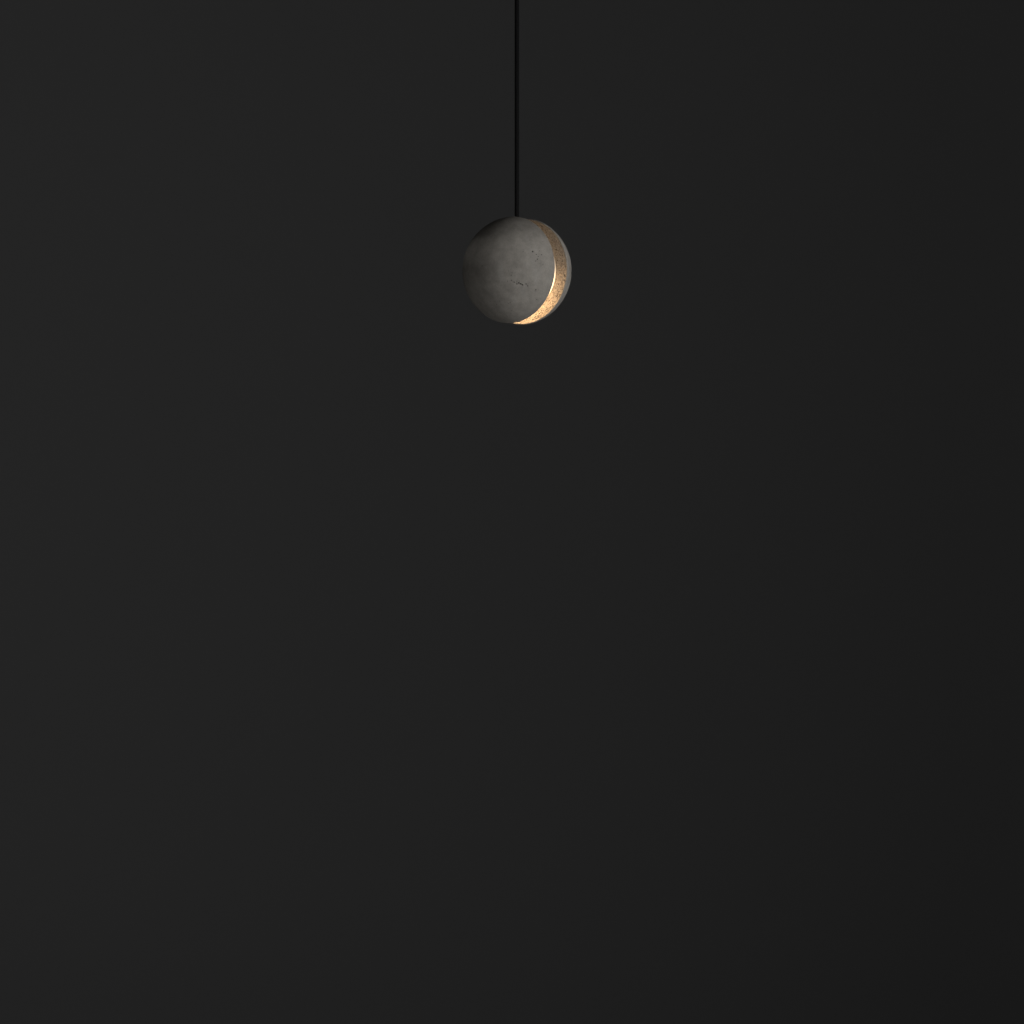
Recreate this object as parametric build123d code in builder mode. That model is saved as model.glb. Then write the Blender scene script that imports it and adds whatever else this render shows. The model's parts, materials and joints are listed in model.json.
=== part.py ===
from build123d import *
import os
from math import cos, radians, sin

# Pendant light. A concrete ball is cut by an upright slot into two hollow caps, and an LED drum
# joins them inside the slot. The ball hangs on a round cord from a canopy on the ceiling.
# Millimetres. The origin is the centre of the ceiling plane, +Z is up, and the slot faces along Y:
# the front cap is on the -Y side and the rear cap on the +Y side.

# Driving dimensions: ball and slot
BALL_R = 60.0
SLOT = 24.0
RIM_ROUNDING = 1.6
DRUM_R = 42.8
GLOW_HALF_ANGLE = 110.0
CORD_R = 2.5

# Driving dimensions: ceiling set
CANOPY_R = 50.0
CANOPY_HEIGHT = 28.0
CANOPY_WALL = 1.5
GRIP_LENGTH = 14.0
MOUTH_TO_BALL = 312.0
BRACKET_T = 1.5
CEILING_SCREW_PITCH = 60.0
CEILING_SLOT_LENGTH = 14.0
CEILING_SLOT_WIDTH = 4.5

# Gaps: between moving pieces, between a screw and its thread, and around a seated piece
RUNNING_GAP = 0.3
THREAD_GAP = 0.02
SEAT_GAP = 0.4

# Worked out from them
CANOPY_Z = -CANOPY_HEIGHT
CANOPY_FLOOR_Z = CANOPY_Z + CANOPY_WALL
MOUTH_Z = CANOPY_Z - GRIP_LENGTH
PIVOT_Z = MOUTH_Z + 2.0
BALL_Z = MOUTH_Z - MOUTH_TO_BALL
SLOT_HALF = SLOT / 2
RIM_R = (BALL_R**2 - SLOT_HALF**2) ** 0.5
BALL_SKETCH = Plane.XY.offset(BALL_Z)
BALL_AXIS = Axis((0, 0, BALL_Z), (0, 1, 0))

# The rebate in each cap's face takes its plate, and the hollow behind it saves weight
REBATE_R = DRUM_R + SEAT_GAP
PLATE_T = 2.0
PLATE_IN = SLOT_HALF + 1.0
PLATE_OUT = PLATE_IN + PLATE_T
HOLLOW_R = 34.0
HOLLOW_END = 42.0
HOLLOW_ROUNDING = 14.0

# M3 hardware
M3_R = 1.5
M3_CLEARANCE_R = 1.65
PAN_HEAD_R = 2.75
PAN_HEAD_T = 2.0
SOCKET_R = 1.1
INSERT_R = 2.5
INSERT_LENGTH = 6.5
INSERT_CIRCLE_R = 38.6
STUD_CIRCLE_R = 25.5

os.makedirs("parts", exist_ok=True)


def save(piece, name):
    """Label a finished piece and write it as its own STEP file."""
    piece.part.label = name
    export_step(piece.part, f"parts/{name}.step")


def face_plane(y):
    """The plane across the slot's normal at y, seen from the front: local x is X and local y is Z."""
    return Plane(origin=(0, y, BALL_Z), x_dir=(1, 0, 0), z_dir=(0, -1, 0))


def radial_plane(angle, radius, y=0.0):
    """A plane on the drum at that angle above +X, at that radius, that faces outwards."""
    out = (cos(radians(angle)), 0, sin(radians(angle)))
    centre = (radius * out[0], y, BALL_Z + radius * out[2])
    return Plane(origin=centre, x_dir=(0, 1, 0), z_dir=out)


def drum_section(angle):
    """The plane through the ball's Y axis at that angle: local x is the radius and local y is Y."""
    out = (cos(radians(angle)), 0, sin(radians(angle)))
    return Plane(origin=(0, 0, BALL_Z), x_dir=out, z_dir=(-out[2], 0, out[0]))


def arc_band(inner, outer, half_width, start, arc):
    """A band of the drum between two radii, from the start angle through arc degrees."""
    with BuildSketch(drum_section(start)) as band:
        with Locations(((inner + outer) / 2, 0)):
            Rectangle(outer - inner, 2 * half_width)
    revolve(band.sketch, axis=Axis((0, 0, BALL_Z), (0, -1, 0)), revolution_arc=arc)


def rod(plane, radius, length, mode=Mode.ADD):
    """A round rod that stands on the plane."""
    with BuildSketch(plane) as section:
        Circle(radius)
    extrude(section.sketch, amount=length, mode=mode)


def turned(points, plane=Plane.XZ, axis=Axis.Z):
    """A solid of revolution from its half section."""
    with BuildSketch(plane) as section:
        with BuildLine():
            Polyline(*points, close=True)
        make_face()
    revolve(section.sketch, axis=axis)


def wire(points, radius, bend):
    """A round wire along straight runs with rounded corners."""
    with BuildLine() as route:
        FilletPolyline(*points, radius=bend)
    with BuildSketch(Plane(origin=route.line @ 0, z_dir=route.line % 0)) as section:
        Circle(radius)
    sweep(section.sketch, path=route.line)


# ---------------------------------------------------------------- ceiling set

TAB_X = 45.0
TAB_DEPTH = 16.0
BRACKET_WIDTH = 20.0
SIDE_SCREW_Z = -9.0
EARTH_AT = (13.0, -5.0)
M4_R = 2.0

with BuildPart() as mounting_bracket:
    with BuildSketch(Plane.XZ.offset(-BRACKET_WIDTH / 2)) as strap:
        outer_x = TAB_X + BRACKET_T
        with BuildLine():
            Polyline(
                (-outer_x, -TAB_DEPTH),
                (-outer_x, 0),
                (outer_x, 0),
                (outer_x, -TAB_DEPTH),
                (TAB_X, -TAB_DEPTH),
                (TAB_X, -BRACKET_T),
                (-TAB_X, -BRACKET_T),
                (-TAB_X, -TAB_DEPTH),
                close=True,
            )
        make_face()
        fillet(strap.vertices().group_by(Axis.Y)[-1], BRACKET_T + 0.5)
    extrude(amount=BRACKET_WIDTH)
    with BuildSketch():
        with GridLocations(CEILING_SCREW_PITCH, 0, 2, 1):
            SlotOverall(CEILING_SLOT_LENGTH, CEILING_SLOT_WIDTH)
    extrude(amount=-BRACKET_T, mode=Mode.SUBTRACT)
    with BuildSketch(Plane.YZ.offset(-CANOPY_R)):
        with Locations((0, SIDE_SCREW_Z)):
            Circle(M3_R)
    extrude(amount=2 * CANOPY_R, mode=Mode.SUBTRACT)
    with BuildSketch():
        with Locations(EARTH_AT):
            Circle(M4_R)
    extrude(amount=-BRACKET_T, mode=Mode.SUBTRACT)
save(mounting_bracket, "mounting_bracket")

GRIP_THREAD_R = 5.0

with BuildPart() as ceiling_canopy:
    inner_r = CANOPY_R - CANOPY_WALL
    with BuildSketch(Plane.XZ) as wall:
        with BuildLine():
            Polyline(
                (GRIP_THREAD_R + 0.1, CANOPY_Z),
                (CANOPY_R, CANOPY_Z),
                (CANOPY_R, 0),
                (inner_r, 0),
                (inner_r, CANOPY_FLOOR_Z),
                (GRIP_THREAD_R + 0.1, CANOPY_FLOOR_Z),
                close=True,
            )
        make_face()
        fillet(wall.vertices().sort_by_distance((CANOPY_R, CANOPY_Z))[0], 3.0)
        fillet(wall.vertices().sort_by_distance((inner_r, CANOPY_FLOOR_Z))[0], 1.5)
    revolve(axis=Axis.Z)
    with BuildSketch(Plane.YZ.offset(-CANOPY_R)):
        with Locations((0, SIDE_SCREW_Z)):
            Circle(M3_R + 0.2)
    extrude(amount=2 * CANOPY_R, mode=Mode.SUBTRACT)
save(ceiling_canopy, "ceiling_canopy")

with BuildPart() as canopy_side_screws:
    for side in (-1, 1):
        seat = Plane(origin=(side * CANOPY_R, 0, SIDE_SCREW_Z), z_dir=(side, 0, 0))
        rod(seat, PAN_HEAD_R, PAN_HEAD_T)
        rod(seat, M3_R - THREAD_GAP, -7.0)
        rod(seat.offset(PAN_HEAD_T), SOCKET_R, -1.2, mode=Mode.SUBTRACT)
save(canopy_side_screws, "canopy_side_screws")

FLANGE_T = 2.5
SPIGOT_R = 5.5
SPIGOT_END_Z = CANOPY_Z - 7.0
CORD_BORE_R = CORD_R + RUNNING_GAP

with BuildPart() as cord_grip_body:
    turned(
        [
            (CORD_BORE_R, CANOPY_Z + 11.0),
            (GRIP_THREAD_R, CANOPY_Z + 11.0),
            (GRIP_THREAD_R, CANOPY_Z),
            (8.0, CANOPY_Z),
            (8.0, CANOPY_Z - FLANGE_T),
            (SPIGOT_R, CANOPY_Z - FLANGE_T),
            (SPIGOT_R, SPIGOT_END_Z),
            (4.7, SPIGOT_END_Z),
            (CORD_BORE_R, SPIGOT_END_Z + 2.3),
        ]
    )
save(cord_grip_body, "cord_grip_body")

with BuildPart() as cord_grip_locknut:
    with BuildSketch(Plane.XY.offset(CANOPY_FLOOR_Z)):
        RegularPolygon(radius=7.0, side_count=6, major_radius=False)
        Circle(GRIP_THREAD_R + THREAD_GAP, mode=Mode.SUBTRACT)
    extrude(amount=3.0)
save(cord_grip_locknut, "cord_grip_locknut")

COLLET_R = 4.2
CHAMBER_END_Z = PIVOT_Z + 1.8

with BuildPart() as cord_grip_collet:
    turned(
        [
            (CORD_R + 0.05, CHAMBER_END_Z + 0.2),
            (COLLET_R - 0.6, CHAMBER_END_Z + 0.2),
            (COLLET_R, CHAMBER_END_Z + 0.8),
            (COLLET_R, SPIGOT_END_Z - 0.1),
            (COLLET_R - 0.9, SPIGOT_END_Z + 1.0),
            (CORD_R + 0.05, SPIGOT_END_Z + 1.0),
        ]
    )
save(cord_grip_collet, "cord_grip_collet")

NUT_R = 7.5
THROAT_R = 3.2
MOUTH_R = 5.9

# The mouth's cone lets the cord lean about 41 degrees, both swings together, without touching it
with BuildPart() as cord_grip_nut:
    turned(
        [
            (SPIGOT_R + 0.05, CANOPY_Z - FLANGE_T - 0.2),
            (NUT_R, CANOPY_Z - FLANGE_T - 0.2),
            (NUT_R, MOUTH_Z + 2.5),
            (MOUTH_R + 0.8, MOUTH_Z),
            (MOUTH_R, MOUTH_Z),
            (THROAT_R, PIVOT_Z + 1.0),
            (THROAT_R, CHAMBER_END_Z),
            (COLLET_R + 0.1, CHAMBER_END_Z),
            (COLLET_R + 0.1, SPIGOT_END_Z - 0.3),
            (SPIGOT_R + 0.05, SPIGOT_END_Z - 0.3),
        ]
    )
save(cord_grip_nut, "cord_grip_nut")

BLOCK_SIZE = (30.0, 16.0, 13.0)
BLOCK_Y = -23.0
POLE_PITCH = 9.0
POLE_BORE_R = 1.7
BLOCK_TOP_Z = CANOPY_FLOOR_Z + BLOCK_SIZE[2]
WIRE_Z = CANOPY_FLOOR_Z + 5.0
SCREW_WELL_R = 2.0
SCREW_WELL_DY = 4.5

with BuildPart() as terminal_block:
    with BuildSketch(Plane.XY.offset(CANOPY_FLOOR_Z)):
        with Locations((0, BLOCK_Y)):
            Rectangle(BLOCK_SIZE[0], BLOCK_SIZE[1])
    extrude(amount=BLOCK_SIZE[2])
    chamfer(terminal_block.edges().group_by(Axis.Z)[-1], 0.8)
    with BuildSketch(Plane.XZ.offset(-BLOCK_Y - BLOCK_SIZE[1] / 2)):
        with Locations((0, WIRE_Z)):
            with GridLocations(POLE_PITCH, 0, 3, 1):
                Circle(POLE_BORE_R)
    extrude(amount=BLOCK_SIZE[1], mode=Mode.SUBTRACT)
    with BuildSketch(Plane.XY.offset(BLOCK_TOP_Z)):
        with Locations((0, BLOCK_Y)):
            with GridLocations(POLE_PITCH, 2 * SCREW_WELL_DY, 3, 2):
                Circle(SCREW_WELL_R)
    extrude(amount=-(BLOCK_TOP_Z - WIRE_Z), mode=Mode.SUBTRACT)
save(terminal_block, "terminal_block")

with BuildPart() as terminal_screws:
    with BuildSketch(Plane.XY.offset(BLOCK_TOP_Z - 1.5)):
        with Locations((0, BLOCK_Y)):
            with GridLocations(POLE_PITCH, 2 * SCREW_WELL_DY, 3, 2):
                Circle(SCREW_WELL_R - 0.1)
    extrude(amount=-4.2)
    with BuildSketch(Plane.XY.offset(BLOCK_TOP_Z - 1.5)):
        with Locations((0, BLOCK_Y)):
            with GridLocations(POLE_PITCH, 2 * SCREW_WELL_DY, 3, 2):
                Rectangle(3.0, 0.6)
    extrude(amount=-0.8, mode=Mode.SUBTRACT)
save(terminal_screws, "terminal_screws")

EARTH_HEAD_T = 2.4

with BuildPart() as earth_screw:
    with BuildSketch(Plane.XY.offset(-BRACKET_T)):
        with Locations(EARTH_AT):
            Circle(3.6)
    extrude(amount=-EARTH_HEAD_T)
    with BuildSketch(Plane.XY.offset(-BRACKET_T)):
        with Locations(EARTH_AT):
            Circle(M4_R - THREAD_GAP)
    extrude(amount=BRACKET_T)
    with BuildSketch(Plane.XY.offset(-BRACKET_T - EARTH_HEAD_T)):
        with Locations(EARTH_AT):
            Rectangle(5.0, 0.9)
            Rectangle(0.9, 5.0)
    extrude(amount=1.2, mode=Mode.SUBTRACT)
save(earth_screw, "earth_screw")

DRIVER_SIZE = (58.0, 22.0, 17.5)
DRIVER_Y = 24.0
PAD_T = 1.0
DRIVER_FACE_Y = DRIVER_Y - DRIVER_SIZE[1] / 2
BLOCK_FACE_Y = BLOCK_Y + BLOCK_SIZE[1] / 2
LEAD_IN_BLOCK = 2.0

with BuildPart() as driver_pad:
    with BuildSketch(Plane.XY.offset(CANOPY_FLOOR_Z)):
        with Locations((0, DRIVER_Y)):
            Rectangle(DRIVER_SIZE[0] - 8.0, DRIVER_SIZE[1] - 6.0)
    extrude(amount=PAD_T)
save(driver_pad, "driver_pad")

with BuildPart() as led_driver:
    with BuildSketch(Plane.XY.offset(CANOPY_FLOOR_Z + PAD_T)):
        with Locations((0, DRIVER_Y)):
            RectangleRounded(DRIVER_SIZE[0], DRIVER_SIZE[1], 2.0)
    extrude(amount=DRIVER_SIZE[2])
    chamfer(led_driver.edges().group_by(Axis.Z)[-1], 0.6)
save(led_driver, "led_driver")

LEAD_R = 1.0
CORE_R = 0.7
LEAD_BEND = 2.5

with BuildPart() as driver_input_leads:
    for pole, out_x, turn_y in ((-1, -16.0, -4.0), (0, -12.0, 0.0)):
        pole_x = pole * POLE_PITCH
        across = abs(pole_x - out_x)
        wire(
            [
                (out_x, DRIVER_FACE_Y, -12.0),
                (out_x, turn_y, -12.0),
                (pole_x, turn_y - across, WIRE_Z),
                (pole_x, BLOCK_FACE_Y - LEAD_IN_BLOCK, WIRE_Z),
            ],
            LEAD_R,
            LEAD_BEND,
        )
save(driver_input_leads, "driver_input_leads")

with BuildPart() as earth_lead:
    earth_x, earth_y = EARTH_AT
    wire(
        [
            (POLE_PITCH, BLOCK_FACE_Y - LEAD_IN_BLOCK, WIRE_Z),
            (POLE_PITCH, BLOCK_FACE_Y + 4.5, WIRE_Z),
            (earth_x, earth_y, WIRE_Z + 8.0),
            (earth_x, earth_y, -BRACKET_T - EARTH_HEAD_T),
        ],
        LEAD_R,
        LEAD_BEND,
    )
save(earth_lead, "earth_lead")

TAIL_END_Z = -13.0

with BuildPart() as cord_tail_cores:
    for side in (-1, 1):
        wire(
            [
                (side * 1.1, 0, TAIL_END_Z),
                (side * 1.1, 0, TAIL_END_Z + 4.5),
                (side * 6.0, 7.0, TAIL_END_Z + 2.0),
                (side * 6.0, DRIVER_FACE_Y, TAIL_END_Z + 2.0),
            ],
            CORE_R,
            2.0,
        )
save(cord_tail_cores, "cord_tail_cores")

# ---------------------------------------------------------------- cord

# The cord hangs dead straight. It flexes in the grip's mouth about one point, where a ball of the
# cord's own thickness lies between the held tail and the hanging stretch.
JOIN_R = CORD_R + RUNNING_GAP
GLAND_TOP = 52.5
TWIST_Z = BALL_Z + GLAND_TOP - 1.5
CORD_END_Z = BALL_Z + 14.0

with BuildPart() as cord_tail:
    rod(Plane.XY.offset(PIVOT_Z), CORD_R, TAIL_END_Z - PIVOT_Z)
    with Locations((0, 0, PIVOT_Z)):
        Sphere(JOIN_R, mode=Mode.SUBTRACT)
save(cord_tail, "cord_tail")

with BuildPart() as cord_bend:
    with Locations((0, 0, PIVOT_Z)):
        Sphere(CORD_R)
save(cord_bend, "cord_bend")

with BuildPart() as cord_drop:
    rod(Plane.XY.offset(TWIST_Z + RUNNING_GAP), CORD_R, PIVOT_Z - TWIST_Z - RUNNING_GAP)
    with Locations((0, 0, PIVOT_Z)):
        Sphere(JOIN_R, mode=Mode.SUBTRACT)
save(cord_drop, "cord_drop")

with BuildPart() as cord_end:
    rod(Plane.XY.offset(CORD_END_Z), CORD_R, TWIST_Z - CORD_END_Z)
save(cord_end, "cord_end")

# ---------------------------------------------------------------- ball: caps and plates

PLATE_HOLE_R = 1.75
HUB_SCREW_START = 30
LOCK_ANGLE = 60.0
TAB_R = 31.5
TAB_LENGTH = 9.0
TAB_HALF_WIDTH = 4.0

for side, name in ((-1, "front"), (1, "rear")):
    plate_in, plate_out = side * PLATE_IN, side * PLATE_OUT
    inner_face = Plane(origin=(0, plate_in, BALL_Z), x_dir=(1, 0, 0), z_dir=(0, -side, 0))
    back_face = inner_face.offset(-PLATE_T)

    with BuildPart() as cap:
        with BuildSketch(BALL_SKETCH) as section:
            with BuildLine():
                ThreePointArc(
                    (0, side * BALL_R),
                    (BALL_R * sin(radians(40)), side * BALL_R * cos(radians(40))),
                    (RIM_R, side * SLOT_HALF),
                )
                Polyline(
                    (RIM_R, side * SLOT_HALF),
                    (REBATE_R, side * SLOT_HALF),
                    (REBATE_R, plate_out),
                    (HOLLOW_R, plate_out),
                    (HOLLOW_R, side * HOLLOW_END),
                    (0, side * HOLLOW_END),
                    (0, side * BALL_R),
                )
            make_face()
            corners = section.vertices()
            fillet(corners.sort_by_distance((RIM_R, side * SLOT_HALF))[0], RIM_ROUNDING)
            fillet(corners.sort_by_distance((HOLLOW_R, side * HOLLOW_END))[0], HOLLOW_ROUNDING)
        revolve(axis=BALL_AXIS)
        with BuildSketch(back_face):
            with PolarLocations(INSERT_CIRCLE_R, 3, start_angle=side * 90):
                Circle(INSERT_R + 0.05)
        extrude(amount=-INSERT_LENGTH - 0.5, mode=Mode.SUBTRACT)
    save(cap, f"{name}_cap")

    with BuildPart() as inserts:
        with BuildSketch(back_face):
            with PolarLocations(INSERT_CIRCLE_R, 3, start_angle=side * 90):
                Circle(INSERT_R)
                Circle(M3_R, mode=Mode.SUBTRACT)
        extrude(amount=-INSERT_LENGTH)
    save(inserts, f"{name}_inserts")

    with BuildPart() as plate:
        with BuildSketch(inner_face):
            Circle(DRUM_R)
        extrude(amount=-PLATE_T)
        with Locations(inner_face):
            with PolarLocations(INSERT_CIRCLE_R, 3, start_angle=side * 90):
                CounterSinkHole(M3_CLEARANCE_R, 3.1, depth=PLATE_T)
        with BuildSketch(inner_face):
            with PolarLocations(STUD_CIRCLE_R, 3, start_angle=side * HUB_SCREW_START):
                Circle(PLATE_HOLE_R)
        extrude(amount=-PLATE_T, mode=Mode.SUBTRACT)
        if name == "front":
            lock_tab = drum_section(LOCK_ANGLE)
            with BuildSketch(lock_tab) as tab:
                with Locations((TAB_R, plate_in + TAB_LENGTH / 2)):
                    Rectangle(PLATE_T, TAB_LENGTH)
            extrude(tab.sketch, amount=TAB_HALF_WIDTH, both=True)
    save(plate, f"{name}_plate")

    with BuildPart() as plate_screws:
        with BuildSketch(inner_face):
            with PolarLocations(INSERT_CIRCLE_R, 3, start_angle=side * 90):
                Circle(M3_R - THREAD_GAP)
        extrude(amount=-PLATE_T - 6.0)
        with Locations(inner_face.offset(-0.1)):
            with PolarLocations(INSERT_CIRCLE_R, 3, start_angle=side * 90):
                Cone(
                    M3_R - THREAD_GAP,
                    2.9,
                    1.4,
                    align=(Align.CENTER, Align.CENTER, Align.MAX),
                )
        with BuildSketch(inner_face):
            with PolarLocations(INSERT_CIRCLE_R, 3, start_angle=side * 90):
                Circle(SOCKET_R)
        extrude(amount=-1.2, mode=Mode.SUBTRACT)
    save(plate_screws, f"{name}_plate_screws")

# ---------------------------------------------------------------- ball: core

HUB_RIM_OUT = 36.0
HUB_RIM_IN = 33.0
HUB_FLANGE_R = DRUM_R - 2.2
HUB_FLANGE_IN = 11.5
WEB_IN = 11.0
FRONT_WEB_HOLE_R = 18.0
BOSS_R = 8.5
BOSS_BOTTOM = 27.0
BOSS_TOP = 40.0
PILLAR_WIDTH = 20.0
PILLAR_BOTTOM = 17.0
PILLAR_Y = 0.5
CLAMP_SCREW_X = 7.0
CLAMP_AT = 22.0
POST_R = 3.2
POST_ANGLES = (40.0, 140.0)
M25_R = 1.25
LOCK_Y = -7.0
STUD_NECK_R = 1.7
STUD_HEAD_R = 3.0
STUD_HEAD_Y = -WEB_IN + 0.1
STUD_HEAD_T = 1.8
KEYHOLE_TURN = 12
KEYHOLE_R = STUD_CIRCLE_R * cos(radians(KEYHOLE_TURN / 2))
KEYHOLE_TRAVEL = 2 * STUD_CIRCLE_R * sin(radians(KEYHOLE_TURN / 2))
LEAD_X = 3.0
LEAD_Y = 4.0

with BuildPart() as core_hub:
    turned(
        [
            (0, PLATE_IN),
            (HUB_FLANGE_R, PLATE_IN),
            (HUB_FLANGE_R, HUB_FLANGE_IN),
            (HUB_RIM_OUT, HUB_FLANGE_IN),
            (HUB_RIM_OUT, -HUB_FLANGE_IN),
            (HUB_FLANGE_R, -HUB_FLANGE_IN),
            (HUB_FLANGE_R, -PLATE_IN),
            (FRONT_WEB_HOLE_R, -PLATE_IN),
            (FRONT_WEB_HOLE_R, -WEB_IN),
            (HUB_RIM_IN, -WEB_IN),
            (HUB_RIM_IN, WEB_IN),
            (0, WEB_IN),
        ],
        plane=BALL_SKETCH,
        axis=BALL_AXIS,
    )
    # Cord gland's boss, and the pillar that the cord is clamped to
    rod(Plane.XY.offset(BALL_Z + BOSS_BOTTOM), BOSS_R, BOSS_TOP - BOSS_BOTTOM)
    with BuildSketch(Plane.XY.offset(BALL_Z + PILLAR_BOTTOM)):
        with Locations((0, (PILLAR_Y + WEB_IN) / 2)):
            Rectangle(PILLAR_WIDTH, WEB_IN - PILLAR_Y)
    extrude(amount=BOSS_BOTTOM - PILLAR_BOTTOM)
    with BuildSketch(Plane.XY.offset(BALL_Z + PILLAR_BOTTOM)):
        Circle(CORD_R + 0.05)
    extrude(amount=BOSS_BOTTOM - PILLAR_BOTTOM, mode=Mode.SUBTRACT)
    with BuildSketch(Plane.XY.offset(BALL_Z + BOSS_BOTTOM)):
        Circle(GRIP_THREAD_R + THREAD_GAP)
    extrude(amount=BOSS_TOP - BOSS_BOTTOM, mode=Mode.SUBTRACT)
    with BuildSketch(face_plane(0)):
        with Locations((0, CLAMP_AT)):
            with GridLocations(2 * CLAMP_SCREW_X, 0, 2, 1):
                Circle(M3_R)
    extrude(amount=-8.0, mode=Mode.SUBTRACT)
    # Posts that carry the shroud, and the boss of the screw that locks the front cap
    for angle in POST_ANGLES:
        rod(radial_plane(angle, HUB_RIM_IN + 1.0), POST_R, HUB_FLANGE_R - HUB_RIM_IN - 1.0)
        rod(radial_plane(angle, HUB_RIM_IN), M25_R, 10.0, mode=Mode.SUBTRACT)
    rod(radial_plane(LOCK_ANGLE, HUB_RIM_IN + 1.0, LOCK_Y), 3.5, 6.5)
    rod(radial_plane(LOCK_ANGLE, HUB_RIM_IN - 1.0, LOCK_Y), M3_R, 10.0, mode=Mode.SUBTRACT)
    # Screw holes in the rear web, and keyholes and the lock tab's window in the front one
    with BuildSketch(face_plane(PLATE_IN)):
        with PolarLocations(STUD_CIRCLE_R, 3, start_angle=HUB_SCREW_START):
            Circle(M3_CLEARANCE_R)
    extrude(amount=PLATE_IN - WEB_IN, mode=Mode.SUBTRACT)
    with BuildSketch(face_plane(-WEB_IN)):
        with PolarLocations(STUD_CIRCLE_R, 3, start_angle=HUB_SCREW_START + KEYHOLE_TURN):
            Circle(STUD_HEAD_R + 0.4)
        with PolarLocations(KEYHOLE_R, 3, start_angle=HUB_SCREW_START + KEYHOLE_TURN / 2):
            SlotCenterToCenter(KEYHOLE_TRAVEL, 2 * (STUD_NECK_R + 0.2), rotation=90)
        with PolarLocations(TAB_R - 0.4, 1, start_angle=LOCK_ANGLE + KEYHOLE_TURN / 2):
            Rectangle(4.0, 2 * TAB_HALF_WIDTH + TAB_R * radians(KEYHOLE_TURN) + 1.0)
    extrude(amount=PLATE_IN - WEB_IN, mode=Mode.SUBTRACT)
    # Holes for the two leads to the LED strip
    for side in (-1, 1):
        lead_hole = Plane((side * LEAD_X, LEAD_Y, BALL_Z - HUB_RIM_OUT - 1.0))
        rod(lead_hole, 1.2, HUB_RIM_OUT - HUB_RIM_IN + 2.0, mode=Mode.SUBTRACT)
save(core_hub, "core_hub")

with BuildPart() as hub_screws:
    with BuildSketch(face_plane(WEB_IN)):
        with PolarLocations(STUD_CIRCLE_R, 3, start_angle=HUB_SCREW_START):
            Circle(PAN_HEAD_R)
    extrude(amount=PAN_HEAD_T)
    with BuildSketch(face_plane(WEB_IN)):
        with PolarLocations(STUD_CIRCLE_R, 3, start_angle=HUB_SCREW_START):
            Circle(M3_R - THREAD_GAP)
    extrude(amount=-6.0)
    with BuildSketch(face_plane(WEB_IN - PAN_HEAD_T)):
        with PolarLocations(STUD_CIRCLE_R, 3, start_angle=HUB_SCREW_START):
            Circle(SOCKET_R)
    extrude(amount=-1.2, mode=Mode.SUBTRACT)
save(hub_screws, "hub_screws")

# The front plate's studs drop through the keyholes and turn into their narrow ends
with BuildPart() as bayonet_studs:
    with BuildSketch(face_plane(-PLATE_OUT)):
        with PolarLocations(STUD_CIRCLE_R, 3, start_angle=HUB_SCREW_START):
            Circle(STUD_NECK_R)
    extrude(amount=-(PLATE_OUT + STUD_HEAD_Y + STUD_HEAD_T))
    with BuildSketch(face_plane(STUD_HEAD_Y)):
        with PolarLocations(STUD_CIRCLE_R, 3, start_angle=HUB_SCREW_START):
            Circle(STUD_HEAD_R)
    extrude(amount=-STUD_HEAD_T)
save(bayonet_studs, "bayonet_studs")

with BuildPart() as lock_screw:
    lock_tip = radial_plane(LOCK_ANGLE, TAB_R + PLATE_T / 2 + 0.1, LOCK_Y)
    rod(lock_tip, M3_R - THREAD_GAP, 8.0)
    rod(lock_tip.offset(8.0), 0.8, -2.0, mode=Mode.SUBTRACT)
save(lock_screw, "lock_screw")

# ---------------------------------------------------------------- ball: light

STRIP_T = 0.35
STRIP_HALF_WIDTH = 5.0
STRIP_IN = HUB_RIM_OUT + 0.05
CHIP_SIZE = (3.5, 2.8, 0.7)
CHIP_COUNT = 26
CHIP_ARC = 204.0
DIFFUSER_T = 2.0
DRUM_HALF_WIDTH = PLATE_IN - 0.2
DOWN = -90.0
SHROUD_GAP_ANGLE = 0.4

with BuildPart() as led_strip:
    arc_band(STRIP_IN, STRIP_IN + STRIP_T, STRIP_HALF_WIDTH, DOWN - 106, 212)
save(led_strip, "led_strip")

with BuildPart() as led_chips:
    for chip in range(CHIP_COUNT):
        angle = DOWN - CHIP_ARC / 2 + CHIP_ARC * chip / (CHIP_COUNT - 1)
        with BuildSketch(radial_plane(angle, STRIP_IN + STRIP_T + 0.05)):
            Rectangle(CHIP_SIZE[1], CHIP_SIZE[0])
        extrude(amount=CHIP_SIZE[2])
save(led_chips, "led_chips")

with BuildPart() as diffuser:
    arc_band(
        DRUM_R - DIFFUSER_T,
        DRUM_R,
        DRUM_HALF_WIDTH,
        DOWN - GLOW_HALF_ANGLE,
        2 * GLOW_HALF_ANGLE,
    )
save(diffuser, "diffuser")

with BuildPart() as core_shroud:
    arc_band(
        DRUM_R - DIFFUSER_T,
        DRUM_R,
        DRUM_HALF_WIDTH,
        DOWN + GLOW_HALF_ANGLE + SHROUD_GAP_ANGLE,
        360 - 2 * GLOW_HALF_ANGLE - 2 * SHROUD_GAP_ANGLE,
    )
    rod(Plane.XY.offset(BALL_Z + HUB_RIM_OUT), BOSS_R + 0.3, BALL_R - HUB_RIM_OUT, mode=Mode.SUBTRACT)
    rod(radial_plane(LOCK_ANGLE, HUB_RIM_OUT, LOCK_Y), 2.2, 12.0, mode=Mode.SUBTRACT)
    for angle in POST_ANGLES:
        rod(radial_plane(angle, HUB_RIM_OUT), M25_R + 0.2, 12.0, mode=Mode.SUBTRACT)
save(core_shroud, "core_shroud")

with BuildPart() as shroud_screws:
    for angle in POST_ANGLES:
        seat = radial_plane(angle, DRUM_R)
        rod(seat, 2.3, 1.5)
        rod(seat, M25_R - THREAD_GAP, -8.0)
        rod(seat.offset(1.5), 0.8, -0.9, mode=Mode.SUBTRACT)
save(shroud_screws, "shroud_screws")

# ---------------------------------------------------------------- ball: cord gland and clamp

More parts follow.
